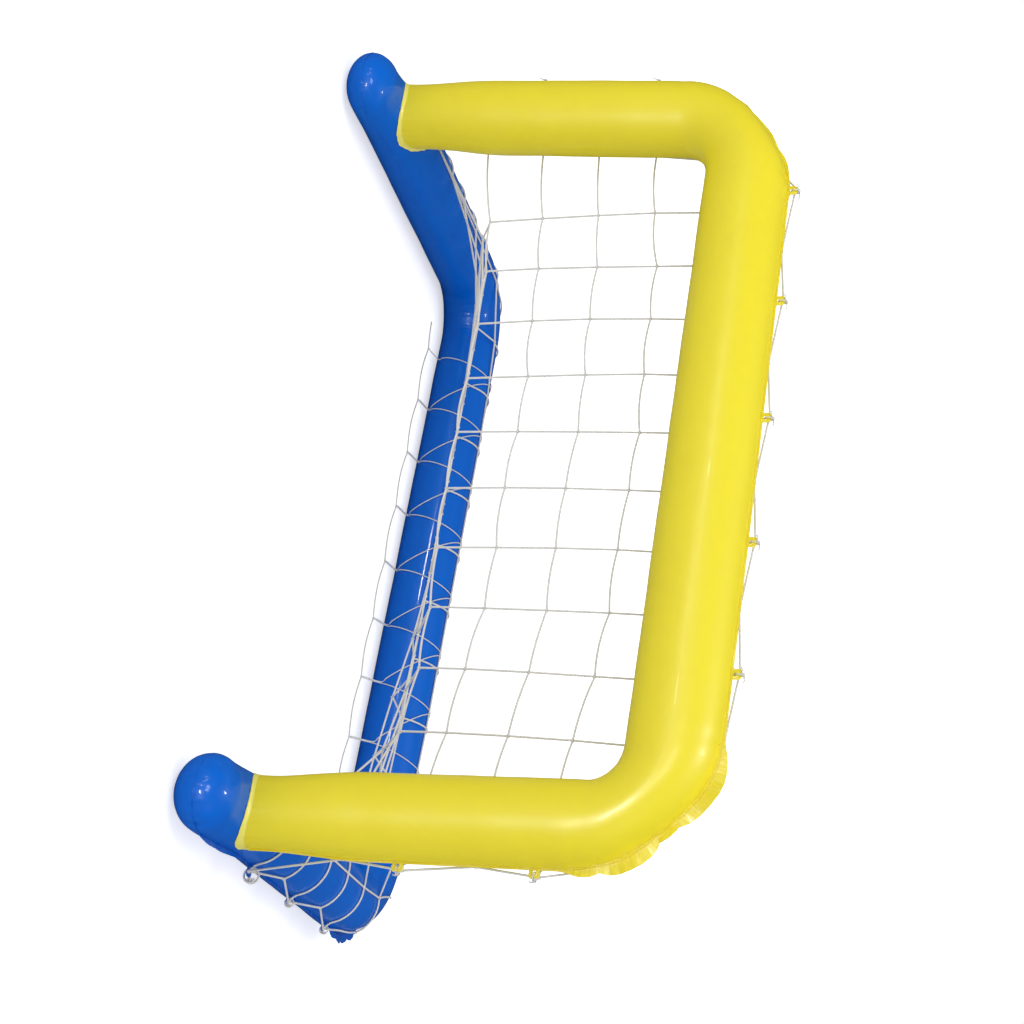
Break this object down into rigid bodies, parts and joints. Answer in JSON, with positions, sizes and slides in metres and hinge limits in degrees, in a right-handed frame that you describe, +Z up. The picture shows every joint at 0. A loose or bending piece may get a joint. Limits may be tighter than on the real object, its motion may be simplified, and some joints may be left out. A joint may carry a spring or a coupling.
{
  "type": "inflatable pool goal",
  "caption": "Inflatable floating pool goal: yellow portal of posts and crossbar on a blue U-shaped base, with a knotted net behind.",
  "frame": {"origin": "under the middle of the whole goal, on the ground", "axes": "+X to the goal's width, -Y out of its mouth, +Z up"},
  "size_m": [1.5212, 0.902, 0.8339],
  "materials": {
    "portal_vinyl": "satin inflated vinyl",
    "base_vinyl": "glossy inflated vinyl",
    "weld_vinyl": "satin vinyl",
    "net_cord": "knotted cord",
    "valve_vinyl": "translucent vinyl"
  },
  "bodies": {
    "goal": {"portal_front_skin": "portal_vinyl", "portal_back_skin": "portal_vinyl", "portal_outer_seam": "portal_vinyl", "portal_inner_seam": "portal_vinyl", "base_top_skin": "base_vinyl", "base_bottom_skin": "base_vinyl", "base_seam": "base_vinyl", "left_post_weld": "weld_vinyl", "right_post_weld": "weld_vinyl", "net": "net_cord", "rear_lacing": "net_cord", "foot_rope": "net_cord", "crossbar_tie_1": "net_cord", "crossbar_tie_2": "net_cord", "crossbar_tie_3": "net_cord", "crossbar_tie_4": "net_cord", "crossbar_tie_5": "net_cord", "rear_bar_tie_1": "net_cord", "rear_bar_tie_2": "net_cord", "rear_bar_tie_3": "net_cord", "rear_bar_tie_4": "net_cord", "left_post_tie_1": "net_cord", "left_post_tie_2": "net_cord", "left_base_tie_1": "net_cord", "left_base_tie_2": "net_cord", "left_foot_tie": "net_cord", "right_post_tie_1": "net_cord", "right_post_tie_2": "net_cord", "right_base_tie_1": "net_cord", "right_base_tie_2": "net_cord", "right_foot_tie": "net_cord", "portal_valve_flange": "portal_vinyl", "base_valve_flange": "base_vinyl"},
    "portal_valve_stem": {"portal_valve_stem": "valve_vinyl", "portal_valve_strap": "valve_vinyl"},
    "portal_valve_cap": {"portal_valve_cap": "valve_vinyl"},
    "portal_valve_flap": {"portal_valve_flap": "valve_vinyl"},
    "base_valve_stem": {"base_valve_stem": "valve_vinyl", "base_valve_strap": "valve_vinyl"},
    "base_valve_cap": {"base_valve_cap": "valve_vinyl"},
    "base_valve_flap": {"base_valve_flap": "valve_vinyl"}
  },
  "joints": [
    {"name": "portal_valve_push_in", "type": "slide", "parent": "goal", "child": "portal_valve_stem", "axis": [0, -0.9986, -0.053], "range_m": [0, 0.008]},
    {"name": "portal_valve_cap_hinge", "type": "hinge", "parent": "portal_valve_stem", "child": "portal_valve_cap", "pos_m": [-0.65591, -0.2309, 0.283], "axis": [-0.9987, -0.0027, 0.0499], "range_deg": [0, 120]},
    {"name": "portal_valve_flap_hinge", "type": "hinge", "parent": "portal_valve_stem", "child": "portal_valve_flap", "pos_m": [-0.65509, -0.26123, 0.29779], "axis": [-0.9987, -0.0027, 0.0499], "range_deg": [0, 70]},
    {"name": "base_valve_push_in", "type": "slide", "parent": "goal", "child": "base_valve_stem", "axis": [0, -0.9063, 0.4226], "range_m": [0, 0.008]},
    {"name": "base_valve_cap_hinge", "type": "hinge", "parent": "base_valve_stem", "child": "base_valve_cap", "pos_m": [-0.2288, 0.43525, 0.02943], "axis": [0, -0.4226, -0.9063], "range_deg": [0, 120]},
    {"name": "base_valve_flap_hinge", "type": "hinge", "parent": "base_valve_stem", "child": "base_valve_flap", "pos_m": [-0.2452, 0.40852, 0.04189], "axis": [0, -0.4226, -0.9063], "range_deg": [0, 70]}
  ]
}
